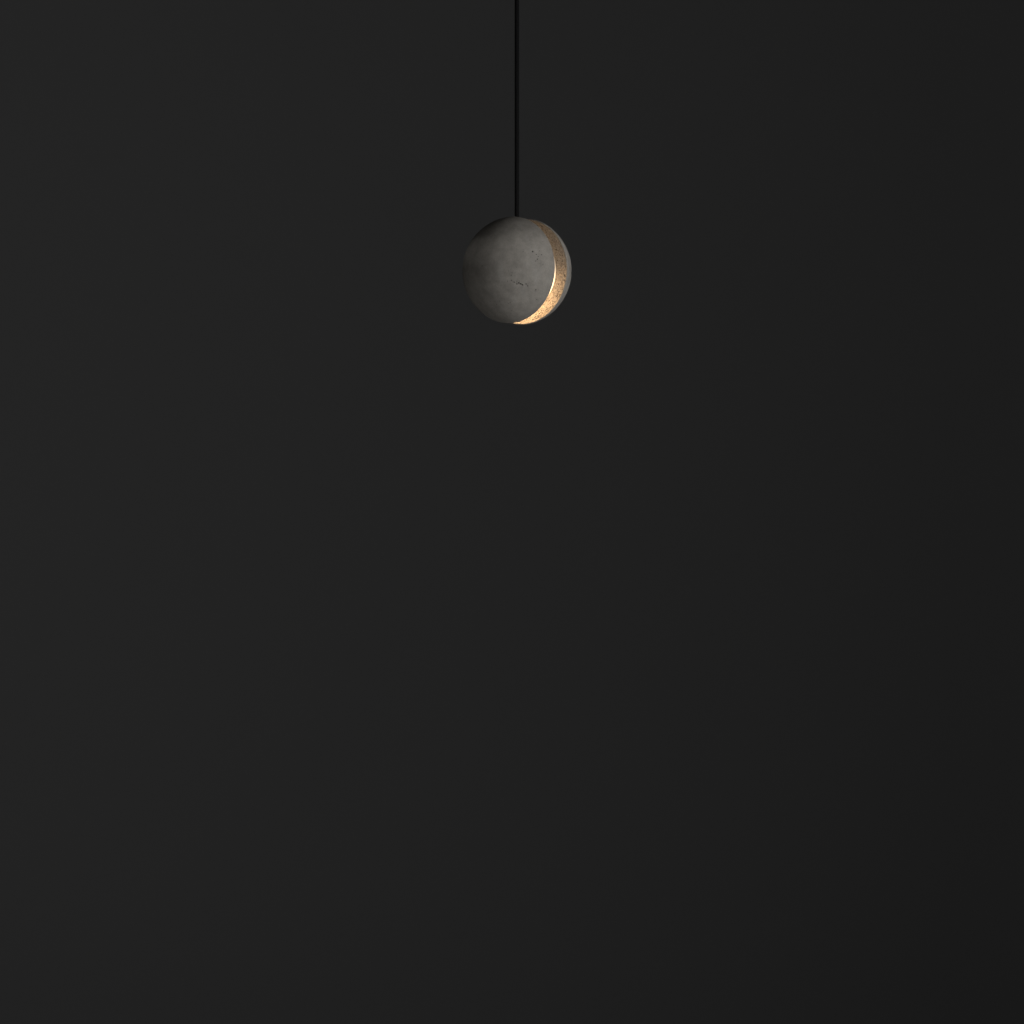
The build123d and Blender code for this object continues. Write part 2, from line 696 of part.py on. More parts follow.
GLAND_NECK_R = 5.0
GLAND_FLANGE_TOP = BOSS_TOP + 3.0
GLAND_NECK_TOP = 47.0
GLAND_CHAMBER_TOP = 50.2
GLAND_NUT_R = 6.6
SEAL_R = 4.4

with BuildPart() as ball_gland_body:
    with BuildSketch(Plane.XY.offset(BALL_Z + BOSS_TOP)):
        RegularPolygon(radius=6.5, side_count=6, major_radius=False)
    extrude(amount=GLAND_FLANGE_TOP - BOSS_TOP)
    rod(Plane.XY.offset(BALL_Z + GLAND_FLANGE_TOP), GLAND_NECK_R, GLAND_NECK_TOP - GLAND_FLANGE_TOP)
    rod(Plane.XY.offset(BALL_Z + BOSS_TOP), GRIP_THREAD_R, -(BOSS_TOP - BOSS_BOTTOM - 3.0))
    rod(Plane.XY.offset(BALL_Z + BOSS_BOTTOM), CORD_R + 0.1, BALL_R, mode=Mode.SUBTRACT)
save(ball_gland_body, "ball_gland_body")

with BuildPart() as ball_gland_seal:
    rod(Plane.XY.offset(BALL_Z + GLAND_NECK_TOP + 0.1), SEAL_R, 3.0)
    rod(Plane.XY.offset(BALL_Z + GLAND_NECK_TOP), CORD_R + 0.05, 4.0, mode=Mode.SUBTRACT)
    chamfer(ball_gland_seal.edges().group_by(Axis.Z)[-1].sort_by(SortBy.LENGTH)[-1], 0.6)
save(ball_gland_seal, "ball_gland_seal")

with BuildPart() as ball_gland_nut:
    turned(
        [
            (GLAND_NECK_R + 0.05, BALL_Z + GLAND_FLANGE_TOP + 0.2),
            (GLAND_NUT_R, BALL_Z + GLAND_FLANGE_TOP + 0.2),
            (GLAND_NUT_R, BALL_Z + GLAND_CHAMBER_TOP),
            (GLAND_NUT_R - 2.0, BALL_Z + GLAND_TOP),
            (CORD_R + 0.45, BALL_Z + GLAND_TOP),
            (CORD_R + 0.45, BALL_Z + GLAND_CHAMBER_TOP),
            (GLAND_NECK_R + 0.05, BALL_Z + GLAND_CHAMBER_TOP),
        ]
    )
save(ball_gland_nut, "ball_gland_nut")

CLAMP_HEIGHT = 8.0
CLAMP_FACE_Y = -0.5
CLAMP_BACK_Y = -5.0

with BuildPart() as cord_clamp:
    with BuildSketch(face_plane(CLAMP_FACE_Y)):
        with Locations((0, CLAMP_AT)):
            RectangleRounded(PILLAR_WIDTH, CLAMP_HEIGHT, 1.5)
            with GridLocations(2 * CLAMP_SCREW_X, 0, 2, 1):
                Circle(M3_CLEARANCE_R, mode=Mode.SUBTRACT)
    extrude(amount=CLAMP_FACE_Y - CLAMP_BACK_Y)
    rod(Plane.XY.offset(BALL_Z + PILLAR_BOTTOM), CORD_R + 0.05, 10.0, mode=Mode.SUBTRACT)
save(cord_clamp, "cord_clamp")

with BuildPart() as cord_clamp_screws:
    for side in (-1, 1):
        seat = Plane(
            origin=(side * CLAMP_SCREW_X, CLAMP_BACK_Y, BALL_Z + CLAMP_AT),
            x_dir=(1, 0, 0),
            z_dir=(0, -1, 0),
        )
        rod(seat, PAN_HEAD_R, PAN_HEAD_T)
        rod(seat, M3_R - THREAD_GAP, -11.5)
        rod(seat.offset(PAN_HEAD_T), SOCKET_R, -1.2, mode=Mode.SUBTRACT)
save(cord_clamp_screws, "cord_clamp_screws")

CONNECTOR_SIZE = (16.0, 8.0, 8.0)
CONNECTOR_POLE_X = 4.0
CONNECTOR_FACE_Y = WEB_IN - CONNECTOR_SIZE[1]
CONNECTOR_BORE_Y = 7.0
CONNECTOR_TOP_Z = BALL_Z + CONNECTOR_SIZE[2] / 2
CONNECTOR_BOTTOM_Z = BALL_Z - CONNECTOR_SIZE[2] / 2

with BuildPart() as core_connector:
    with BuildSketch(Plane.XY.offset(CONNECTOR_BOTTOM_Z)):
        with Locations((0, WEB_IN - CONNECTOR_SIZE[1] / 2)):
            Rectangle(CONNECTOR_SIZE[0], CONNECTOR_SIZE[1])
        with Locations((0, CONNECTOR_BORE_Y)):
            with GridLocations(2 * CONNECTOR_POLE_X, 0, 2, 1):
                Circle(1.3, mode=Mode.SUBTRACT)
    extrude(amount=CONNECTOR_SIZE[2])
    with BuildSketch(face_plane(CONNECTOR_FACE_Y)):
        with GridLocations(2 * CONNECTOR_POLE_X, 0, 2, 1):
            Circle(1.7)
    extrude(amount=CONNECTOR_FACE_Y - CONNECTOR_BORE_Y, mode=Mode.SUBTRACT)
save(core_connector, "core_connector")

with BuildPart() as core_connector_screws:
    with BuildSketch(face_plane(CONNECTOR_FACE_Y + 0.6)):
        with GridLocations(2 * CONNECTOR_POLE_X, 0, 2, 1):
            Circle(1.6)
    extrude(amount=-2.2)
    with BuildSketch(face_plane(CONNECTOR_FACE_Y + 0.6)):
        with GridLocations(2 * CONNECTOR_POLE_X, 0, 2, 1):
            Rectangle(2.4, 0.5)
    extrude(amount=-0.7, mode=Mode.SUBTRACT)
save(core_connector_screws, "core_connector_screws")

with BuildPart() as cord_end_cores:
    for side in (-1, 1):
        wire(
            [
                (side * 1.1, 0, CORD_END_Z),
                (side * 1.1, 0, CORD_END_Z - 2.5),
                (side * CONNECTOR_POLE_X, CONNECTOR_BORE_Y, CONNECTOR_TOP_Z + 3.0),
                (side * CONNECTOR_POLE_X, CONNECTOR_BORE_Y, CONNECTOR_TOP_Z - 2.5),
            ],
            CORE_R,
            1.6,
        )
save(cord_end_cores, "cord_end_cores")

with BuildPart() as strip_leads:
    for side in (-1, 1):
        wire(
            [
                (side * CONNECTOR_POLE_X, CONNECTOR_BORE_Y, CONNECTOR_BOTTOM_Z + 2.5),
                (side * CONNECTOR_POLE_X, CONNECTOR_BORE_Y, CONNECTOR_BOTTOM_Z - 4.0),
                (side * LEAD_X, LEAD_Y, CONNECTOR_BOTTOM_Z - 12.0),
                (side * LEAD_X, LEAD_Y, BALL_Z - HUB_RIM_OUT + 0.3),
            ],
            CORE_R,
            1.6,
        )
save(strip_leads, "strip_leads")
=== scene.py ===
import json
import random
from math import atan2, cos, pi, radians, sin, sqrt, tau

import bmesh
import bpy
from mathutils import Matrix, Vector, noise


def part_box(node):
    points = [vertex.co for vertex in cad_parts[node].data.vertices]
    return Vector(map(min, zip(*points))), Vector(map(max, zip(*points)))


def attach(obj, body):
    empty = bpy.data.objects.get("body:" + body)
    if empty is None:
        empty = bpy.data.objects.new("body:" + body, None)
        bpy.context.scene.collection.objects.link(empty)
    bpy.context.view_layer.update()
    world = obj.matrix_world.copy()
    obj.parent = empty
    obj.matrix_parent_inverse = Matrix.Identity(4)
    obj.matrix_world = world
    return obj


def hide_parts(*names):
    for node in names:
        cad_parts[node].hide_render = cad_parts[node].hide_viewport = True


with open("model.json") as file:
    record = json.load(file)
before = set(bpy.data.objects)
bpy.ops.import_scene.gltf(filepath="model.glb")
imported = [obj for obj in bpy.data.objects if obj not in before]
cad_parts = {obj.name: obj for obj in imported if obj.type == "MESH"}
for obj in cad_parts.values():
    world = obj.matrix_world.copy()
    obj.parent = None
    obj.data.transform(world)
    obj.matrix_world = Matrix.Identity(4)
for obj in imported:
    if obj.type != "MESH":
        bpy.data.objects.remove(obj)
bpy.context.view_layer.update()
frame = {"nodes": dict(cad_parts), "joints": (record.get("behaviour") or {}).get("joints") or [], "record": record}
nodes = frame["nodes"]

MM = 0.001
SCENE = bpy.context.scene


# ------------------------------------------------------------ sizes: the frame's, and the caps' roundings

rear_low, rear_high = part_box("rear_cap")
plate_low, plate_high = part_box("rear_plate")
drum_low, drum_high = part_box("diffuser")
BALL_Z = (rear_low.z + rear_high.z) / 2
BALL_CENTRE = Vector((0, 0, BALL_Z))
BALL_R = rear_high.y
SLOT_HALF = rear_low.y
DRUM_R = (drum_high.x - drum_low.x) / 2
REBATE_R = DRUM_R + 0.4 * MM
REBATE_END = plate_high.y
RIM_R = sqrt(BALL_R**2 - SLOT_HALF**2)
RIM_ROUNDING = 1.6 * MM
FACE_OUTER_R = RIM_R - RIM_ROUNDING
HOLLOW_R = 34 * MM
HOLLOW_END = 42 * MM
HOLLOW_ROUNDING = 14 * MM
CORD_R = (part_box("cord_drop")[1].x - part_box("cord_drop")[0].x) / 2
PIVOT = Vector(next(j for j in frame["joints"] if j["name"] == "swing_x")["pos_m"])
TWIST = Vector(next(j for j in frame["joints"] if j["name"] == "cord_twist")["pos_m"])


# ------------------------------------------------------------ shader building blocks


def node(tree, kind, inputs=None, **settings):
    """A shader or geometry node with its settings, and its inputs as values or links."""
    made = tree.nodes.new(kind)
    for key, value in settings.items():
        setattr(made, key, value)
    for key, value in (inputs or {}).items():
        socket = made.inputs[key]
        if isinstance(value, bpy.types.NodeSocket):
            tree.links.new(value, socket)
        else:
            socket.default_value = value
    return made


def math_node(tree, operation, a, b=0.0, clamp=False):
    return node(tree, "ShaderNodeMath", {0: a, 1: b}, operation=operation, use_clamp=clamp).outputs[0]


def mixed(tree, share, a, b, blend="MIX"):
    """Colour a turned into colour b by that share."""
    made = node(tree, "ShaderNodeMix", {"Factor": share}, data_type="RGBA", blend_type=blend)
    for socket, value in ((made.inputs[6], a), (made.inputs[7], b)):
        if isinstance(value, bpy.types.NodeSocket):
            tree.links.new(value, socket)
        else:
            socket.default_value = value
    return made.outputs[2]


def ranged(tree, value, low, high, to_low=0.0, to_high=1.0):
    inputs = {"Value": value, "From Min": low, "From Max": high, "To Min": to_low, "To Max": to_high}
    return node(tree, "ShaderNodeMapRange", inputs, clamp=True).outputs[0]


def scaled(tree, colour, factor):
    """A colour made brighter or darker by that factor."""
    inputs = {0: colour, "Scale": factor}
    return node(tree, "ShaderNodeVectorMath", inputs, operation="SCALE").outputs[0]


def noise_node(tree, place, scale, detail, rough=0.5):
    inputs = {"Vector": place, "Scale": scale, "Detail": detail, "Roughness": rough}
    return node(tree, "ShaderNodeTexNoise", inputs).outputs["Fac"]


def object_place(tree):
    return node(tree, "ShaderNodeTexCoord").outputs["Object"]


def rgba(colour):
    return (*colour, 1.0)


def base_tone(surface):
    """What feeds the surface's colour now, to build on."""
    return surface.inputs["Base Color"].links[0].from_socket


def new_group(name, inputs, outputs):
    """An empty shader group with named inputs and outputs, and its two end nodes."""
    group = bpy.data.node_groups.new(name, "ShaderNodeTree")
    for label, kind, value in inputs:
        socket = group.interface.new_socket(name=label, in_out="INPUT", socket_type=kind)
        socket.default_value = value
    for label, kind in outputs:
        group.interface.new_socket(name=label, in_out="OUTPUT", socket_type=kind)
    return group, group.nodes.new("NodeGroupInput").outputs, group.nodes.new("NodeGroupOutput")


FLOAT, COLOUR = "NodeSocketFloat", "NodeSocketColor"


def make_finish_group():
    """Uneven tone, roughness and fine relief, sized in metres, for every finish of the lamp."""
    group, given, out = new_group(
        "finish_variation",
        [
            ("Colour", COLOUR, (0.5, 0.5, 0.5, 1)),
            ("Mottle Size", FLOAT, 0.02),
            ("Mottle Depth", FLOAT, 0.2),
            ("Grain Size", FLOAT, 0.001),
            ("Grain Depth", FLOAT, 0.1),
            ("Roughness", FLOAT, 0.5),
            ("Roughness Spread", FLOAT, 0.1),
        ],
        [("Colour", COLOUR), ("Roughness", FLOAT), ("Height", FLOAT)],
    )
    place = object_place(group)
    mottle_scale = math_node(group, "DIVIDE", 1.0, given["Mottle Size"])
    grain_scale = math_node(group, "DIVIDE", 1.0, given["Grain Size"])
    mottle = noise_node(group, place, mottle_scale, detail=5.0, rough=0.6)
    grain = noise_node(group, place, grain_scale, detail=2.0)
    off_mottle = math_node(group, "SUBTRACT", mottle, 0.5)
    off_grain = math_node(group, "SUBTRACT", grain, 0.5)
    mottle_swing = math_node(group, "MULTIPLY", off_mottle, given["Mottle Depth"])
    grain_swing = math_node(group, "MULTIPLY", off_grain, given["Grain Depth"])
    tone = math_node(group, "ADD", math_node(group, "ADD", mottle_swing, grain_swing), 1.0)
    toned = scaled(group, given["Colour"], tone)
    rough_swing = math_node(group, "MULTIPLY", off_mottle, given["Roughness Spread"])
    rough = math_node(group, "ADD", given["Roughness"], rough_swing, clamp=True)
    group.links.new(toned, out.inputs["Colour"])
    group.links.new(rough, out.inputs["Roughness"])
    group.links.new(grain, out.inputs["Height"])
    return group


FINISH = make_finish_group()


def finish(
    name, colour, rough, mottle=(0.02, 0.15), grain=(0.0006, 0.06), spread=0.12, bump=0.00003, **shader
):
    """A material made of the shared finish group, with its own colour, sizes and bump height."""
    material = bpy.data.materials.new(name)
    material.use_nodes = True
    tree = material.node_tree
    surface = tree.nodes["Principled BSDF"]
    group = node(tree, "ShaderNodeGroup", node_tree=FINISH)
    values = {
        "Colour": rgba(colour),
        "Mottle Size": mottle[0],
        "Mottle Depth": mottle[1],
        "Grain Size": grain[0],
        "Grain Depth": grain[1],
        "Roughness": rough,
        "Roughness Spread": spread,
    }
    for label, value in values.items():
        group.inputs[label].default_value = value
    tree.links.new(group.outputs["Colour"], surface.inputs["Base Color"])
    tree.links.new(group.outputs["Roughness"], surface.inputs["Roughness"])
    relief = node(
        tree, "ShaderNodeBump", {"Height": group.outputs["Height"], "Distance": bump, "Strength": 1.0}
    )
    tree.links.new(relief.outputs["Normal"], surface.inputs["Normal"])
    for label, value in shader.items():
        surface.inputs[label.replace("_", " ")].default_value = value
    return material


# ------------------------------------------------------------ concrete

CONCRETE = (0.300, 0.278, 0.247)
LIME_BLOOM = (0.41, 0.40, 0.375)
DARK_SPECK = (0.10, 0.092, 0.08)
# Colour that the pores fade to: painted shade in the pores, not a colour of the concrete.
PORE_PAINTED_SHADE = (0.055, 0.050, 0.044)
RAW_PASTE = (0.42, 0.37, 0.315)
# Colour that the pits fade to: painted shade in the raw face's pits.
PIT_PAINTED_SHADE = (0.085, 0.062, 0.042)
STREAK_STRETCH = (1.0, 1.0, 0.28)
STREAKS_PER_M = 90.0
SPECKS_PER_M = 420.0
STONES_PER_M = 620.0


def concrete_skin():
    """The ball's smooth cast outside: cloudy grey, pale upright streaks, and painted shade inside the pores."""
    material = finish(
        "concrete_skin",
        CONCRETE,
        rough=0.80,
        mottle=(0.009, 0.80),
        grain=(0.0016, 0.30),
        spread=0.2,
        bump=0.00008,
        Specular_IOR_Level=0.3,
    )
    tree = material.node_tree
    surface = tree.nodes["Principled BSDF"]
    toned = base_tone(surface)
    place = object_place(tree)
    stretched = node(tree, "ShaderNodeMapping", {"Vector": place, "Scale": STREAK_STRETCH}).outputs[0]
    streak = noise_node(tree, stretched, STREAKS_PER_M, detail=4.0, rough=0.55)
    pale = ranged(tree, streak, 0.52, 0.72, 0.0, 0.22)
    bloomed = mixed(tree, pale, toned, rgba(LIME_BLOOM))
    specks = node(tree, "ShaderNodeTexVoronoi", {"Vector": place, "Scale": SPECKS_PER_M}).outputs
    speck_size = ranged(tree, specks["Color"], 0.80, 1.0, 0.0, 0.28)
    dark_speck = math_node(tree, "LESS_THAN", specks["Distance"], speck_size)
    speck_share = math_node(tree, "MULTIPLY", dark_speck, 0.45)
    speckled = mixed(tree, speck_share, bloomed, rgba(DARK_SPECK))
    # Painted shade: the colour darkens towards a near black inside the pores, by each pore's share.
    pore = node(tree, "ShaderNodeAttribute", attribute_name="pore").outputs["Fac"]
    painted_shade = mixed(tree, math_node(tree, "MULTIPLY", pore, 0.8), speckled, rgba(PORE_PAINTED_SHADE))
    tree.links.new(painted_shade, surface.inputs["Base Color"])
    return material


def concrete_sandy():
    """The slot's raw faces: sand and small stones of several tones in a lighter paste."""
    material = finish(
        "concrete_sandy",
        RAW_PASTE,
        rough=0.93,
        mottle=(0.010, 0.45),
        grain=(0.0007, 0.5),
        spread=0.1,
        bump=0.00025,
        Specular_IOR_Level=0.2,
    )
    tree = material.node_tree
    surface = tree.nodes["Principled BSDF"]
    toned = base_tone(surface)
    place = object_place(tree)
    stones = node(tree, "ShaderNodeTexVoronoi", {"Vector": place, "Scale": STONES_PER_M}).outputs["Color"]
    stony = scaled(tree, toned, ranged(tree, stones, 0.0, 1.0, 0.75, 1.22))
    # Painted shade: the colour darkens towards a dark brown inside the pits, by each pit's share.
    pit = node(tree, "ShaderNodeAttribute", attribute_name="pore").outputs["Fac"]
    painted_shade = mixed(tree, math_node(tree, "MULTIPLY", pit, 0.75), stony, rgba(PIT_PAINTED_SHADE))
    tree.links.new(painted_shade, surface.inputs["Base Color"])
    return material


# ------------------------------------------------------------ concrete caps

RING_BASE = 15
SKIN_STEP = 0.8 * MM
FACE_STEP = 0.36 * MM
HIDDEN_STEP = 3 * MM
BEHIND_FACE = SLOT_HALF + 1.0 * MM
BEND_ROWS = 7
HOLLOW_ROWS = 6
SKIN, SANDY = 0, 1
TOUCH = 0.01 * MM

SKIN_WAVE = (9 * MM, 0.05 * MM)  # length and depth of the skin's slow waves
PORE_DEPTH = 1.3  # a pore's depth, in its own radii
PORE_CELL = 4 * MM
LONE_PORES = 75
GROUP_EVERY, GROUP_SIZE = 9, 5
SAND_SIZE, FINE_SAND_SIZE = 1.5 * MM, 0.75 * MM
LUMP_SIZE = 2.6 * MM
PIT_SPACING = 1.35 * MM
CHIP_LENGTH = 3.1 * MM
CHIP_DEPTH = 2.2 * MM
CHIPPED_BAND = 3 * MM
FACE_FADE = 1.4 * MM

# Pores by azimuth from the front towards +X, elevation above the ball's middle, and radius in mm
FRONT_PORES = [
    (51, 15, 0.95), (55, 12, 0.6), (57, 10, 0.55), (61, 12, 0.6), (56, 7, 0.7), (54, 5, 0.6),
    (62, 2, 0.5), (59, 16, 0.45), (24, -16, 0.5), (28, -15, 0.65), (31, -17, 0.75), (34, -19, 0.85),
    (36, -18, 0.95), (38, -19, 1.0), (40, -20, 0.9), (44, -19, 0.7), (46, -21, 0.65), (28, -10, 0.5),
    (29, -7, 0.5), (56, -25, 0.7), (22, -41, 0.6), (25, -40, 0.5), (4, -42, 0.6), (66, 27, 0.45),
    (10, -38, 0.45), (60, -36, 0.6), (15, 10, 0.35), (33, 21, 0.35),
]


def ring_count(radius, step):
    """How many points a ring of that radius takes, doubling from a small base."""
    count = RING_BASE
    while tau * radius / count > step:
        count *= 2
    return count


def cap_profile():
    """Half section of the rear cap as (radius, y, step, zone), from the pole to the closed hollow."""
    inner = BALL_R - RIM_ROUNDING
    bend_y = SLOT_HALF + RIM_ROUNDING
    bend_r = sqrt(inner**2 - bend_y**2)
    skin_angle = atan2(bend_r, bend_y)
    rows = []
    skin_rows = int(BALL_R * skin_angle / SKIN_STEP)
    for i in range(skin_rows + 1):
        a = skin_angle * i / skin_rows
        rows.append((BALL_R * sin(a), BALL_R * cos(a), SKIN_STEP, SKIN))
    for i in range(1, BEND_ROWS):
        a = skin_angle + (pi - skin_angle) * i / BEND_ROWS
        rows.append((bend_r + RIM_ROUNDING * sin(a), bend_y + RIM_ROUNDING * cos(a), SKIN_STEP, SKIN))
    face_rows = int((bend_r - REBATE_R) / FACE_STEP)
    for i in range(face_rows + 1):
        rows.append((bend_r + (REBATE_R - bend_r) * i / face_rows, SLOT_HALF, FACE_STEP, SANDY))
    for radius, y in ((REBATE_R, BEHIND_FACE), (REBATE_R, REBATE_END), (HOLLOW_R, REBATE_END)):
        rows.append((radius, y, HIDDEN_STEP, SKIN))
    for i in range(HOLLOW_ROWS + 1):
        a = pi / 2 * i / HOLLOW_ROWS
        radius = HOLLOW_R - HOLLOW_ROUNDING * (1 - cos(a))
        rows.append((radius, HOLLOW_END - HOLLOW_ROUNDING * (1 - sin(a)), HIDDEN_STEP, SKIN))
    rows.append((0.0, HOLLOW_END, HIDDEN_STEP, SKIN))
    return rows


def upright_ring(bm, radius, y, count):
    """Evenly spaced points round the ball's slot axis, at that y."""
    angles = [tau * i / count for i in range(count)]
    return [bm.verts.new((radius * cos(a), y, BALL_Z + radius * sin(a))) for a in angles]


def zip_rings(bm, a, b, zone):
    """Closes the strip between two rings of evenly spaced points, however many each has."""
    faces = []
    if len(a) == 1 or len(b) == 1:
        hub, ring = (a[0], b) if len(a) == 1 else (b[0], a)
        faces = [bm.faces.new((hub, ring[i], ring[(i + 1) % len(ring)])) for i in range(len(ring))]
    elif len(a) == len(b):
        n = len(a)
        faces = [bm.faces.new((a[i], a[(i + 1) % n], b[(i + 1) % n], b[i])) for i in range(n)]
    else:
        i = j = 0
        while i < len(a) or j < len(b):
            if (i + 1) / len(a) <= (j + 1) / len(b) and i < len(a):
                corners = (a[i], a[(i + 1) % len(a)], b[j % len(b)])
                i += 1
            else:
                corners = (a[i % len(a)], b[(j + 1) % len(b)], b[j])
                j += 1
            faces.append(bm.faces.new(corners))
    for face in faces:
        face.material_index = zone
        face.smooth = True


def pore_list(side, seed):
    """One cap's pores as (centre, radius): the listed ones, many single ones and some groups."""
    dice = random.Random(seed)
    found = []
    if side < 0:
        for azimuth, elevation, size in FRONT_PORES:
            a, e = radians(azimuth), radians(elevation)
            found.append((Vector((sin(a) * cos(e), -cos(a) * cos(e), sin(e))), size * MM))
    lone = []
    for _ in range(LONE_PORES):
        y = side * dice.uniform(0.28, 1.0)
        a = dice.uniform(0, tau)
        flat = sqrt(1 - y * y)
        lone.append(Vector((flat * cos(a), y, flat * sin(a))))
    for i, way in enumerate(lone):
        near_listed = side < 0 and way.x > 0.15 and abs(way.z) < 0.75
        if near_listed and dice.random() < 0.75:
            continue
        found.append((way, dice.uniform(0.22, 0.5) * MM))
        if i % GROUP_EVERY == 0:
            for _ in range(GROUP_SIZE):
                jitter = Vector((dice.gauss(0, 0.05), dice.gauss(0, 0.03), dice.gauss(0, 0.05)))
                found.append(((way + jitter).normalized(), dice.uniform(0.25, 0.7) * MM))
    return [(BALL_CENTRE + way * BALL_R, size) for way, size in found if side * way.y > 0.26]


def cell_of(point):
    return tuple(int(c // PORE_CELL) for c in point)


def pore_grid(pores):
    """The pores filed by the cell of space that holds them."""
    grid = {}
    for centre, size in pores:
        grid.setdefault(cell_of(centre), []).append((centre, size))
    return grid


def pores_about(grid, point):
    """The pores in the point's own cell and in the cells that touch it."""
    x, y, z = cell_of(point)
    near = []
    for dx in (-1, 0, 1):
        for dy in (-1, 0, 1):
            for dz in (-1, 0, 1):
                near += grid.get((x + dx, y + dy, z + dz), [])
    return near


def refine_near(bm, grid):
    """Splits the skin's edges around each pore, so that a pore half a millimetre wide has a shape."""

    def reached(point, reach):
        near = pores_about(grid, point)
        return any((point - centre).length < size * reach + 0.3 * MM for centre, size in near)

    for reach in (2.6, 1.9):
        edges = [e for e in bm.edges if reached((e.verts[0].co + e.verts[1].co) / 2, reach)]
        bmesh.ops.subdivide_edges(bm, edges=edges, cuts=1, use_grid_fill=True)
    for vertex in bm.verts:
        arm = vertex.co - BALL_CENTRE
        if arm.length > BALL_R - 0.35 * MM and abs(arm.y) > SLOT_HALF + 2.4 * MM:
            vertex.co = BALL_CENTRE + arm.normalized() * BALL_R


def skin_depth(point, pores_near):
    """How far the skin lies inside the true sphere, and how much painted shade the pore gives there."""
    wave_length, wave_depth = SKIN_WAVE
    depth = wave_depth * (0.5 + 0.5 * noise.noise(point / wave_length))
    painted_shade = 0.0
    for centre, size in pores_near:
        wobble = 1 + 0.3 * noise.noise(point / (0.5 * MM))
        share = (point - centre).length / (size * wobble)
        if share < 1.15:
            bowl = max(0.0, 1 - share**2.6)
            depth += PORE_DEPTH * size * bowl
            # Painted shade, deepest at the pore's middle.
            painted_shade = max(painted_shade, min(1.0, 1.7 * bowl))
    return depth, painted_shade


def face_depth(point, drift):
    """How far the raw face lies inside its plane: sand grains, gaps between them, and blown pits, whose share also
    sets their painted shade.
    """
    shifted = point + drift
    cells, _ = noise.voronoi(shifted / SAND_SIZE)
    fine_cells, _ = noise.voronoi(shifted / FINE_SAND_SIZE)
    lumps = noise.fractal(shifted / LUMP_SIZE, 0.9, 2.1, 3)
    pits = noise.noise(shifted / PIT_SPACING + Vector((7, 3, 1)))
    depth = 0.22 + 0.17 * min(1.0, cells[0] * 1.5) + 0.12 * min(1.0, fine_cells[0] * 1.5)
    depth -= 0.10 * lumps
    # The pit's share also darkens the face's colour as painted shade.
    pit = min(1.0, max(0.0, pits - 0.27) / 0.3)
    depth += 0.85 * pit
    return max(0.03, depth) * MM, pit


def chipping(point, from_plane, drift):
    """How much the slot's edge has lost there: small broken chips, none away from the edge."""
    if from_plane >= CHIPPED_BAND:
        return 0.0
    chip = max(0.0, noise.noise(point / CHIP_LENGTH + drift) - 0.42)
    return chip * CHIP_DEPTH * (1 - from_plane / CHIPPED_BAND)


def cap_base(side):
    """The plain cap, as rings of points about the ball's axis with their strips closed."""
    bm = bmesh.new()
    rings, zones = [], []
    for radius, y, step, zone in cap_profile():
        if radius < TOUCH:
            rings.append([bm.verts.new((0, side * y, BALL_Z))])
        else:
            rings.append(upright_ring(bm, radius, side * y, ring_count(radius, step)))
        zones.append(zone)
    for i in range(len(rings) - 1):
        zip_rings(bm, rings[i], rings[i + 1], min(zones[i], zones[i + 1]))
    bmesh.ops.recalc_face_normals(bm, faces=bm.faces)
    return bm


def concrete_cap(name, side, seed):
    """One half of the ball: a closed shell with a smooth porous outside and a raw sandy slot face."""
    bm = cap_base(side)
    grid = pore_grid(pore_list(side, seed))
    refine_near(bm, grid)
    # Each point's share of painted shade in pores and pits, read by the concrete's colour.
    pore_shade_layer = bm.verts.layers.float.new("pore")
    drift = Vector((0.013 * seed, 0, 0.007 * seed))
    for vertex in bm.verts:
        arm = vertex.co - BALL_CENTRE
        flat = sqrt(arm.x**2 + arm.z**2)
        from_plane = side * arm.y - SLOT_HALF
        on_rim = arm.length > BALL_R - 2.5 * MM and flat > REBATE_R + 1 * MM
        if from_plane > TOUCH and (on_rim or arm.length > BALL_R - 1 * MM):
            depth, painted_shade = skin_depth(vertex.co, pores_about(grid, vertex.co))
            depth += chipping(vertex.co, from_plane, drift)
            vertex[pore_shade_layer] = painted_shade
            vertex.co -= arm.normalized() * depth
        elif abs(from_plane) < TOUCH and flat > REBATE_R - TOUCH:
            depth, painted_shade = face_depth(vertex.co, drift)
            fade = min(1.0, max(0.0, (RIM_R - 1.2 * MM - flat) / FACE_FADE))
            vertex[pore_shade_layer] = painted_shade * fade
            vertex.co.y += side * depth * fade
    mesh = bpy.data.meshes.new(name)
    bm.to_mesh(mesh)
    bm.free()
    shell = bpy.data.objects.new(name, mesh)
    SCENE.collection.objects.link(shell)
    mesh.materials.append(CONCRETE_SKIN)
    mesh.materials.append(CONCRETE_SANDY)
    return shell


CONCRETE_SKIN = concrete_skin()
CONCRETE_SANDY = concrete_sandy()

front_shell = concrete_cap("front_shell", -1, seed=3)
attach(front_shell, "ball")
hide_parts("front_cap")

rear_shell = concrete_cap("rear_shell", 1, seed=8)
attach(rear_shell, "ball")
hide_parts("rear_cap")


# ------------------------------------------------------------ light drum

GLOW = (1.0, 0.665, 0.36)
GLOW_STRENGTH = 13.4
GLOW_AT_EDGE = 0.4
GLOW_AT_TOP = 0.055
CHIPS_PER_RADIAN = 25 / radians(204)


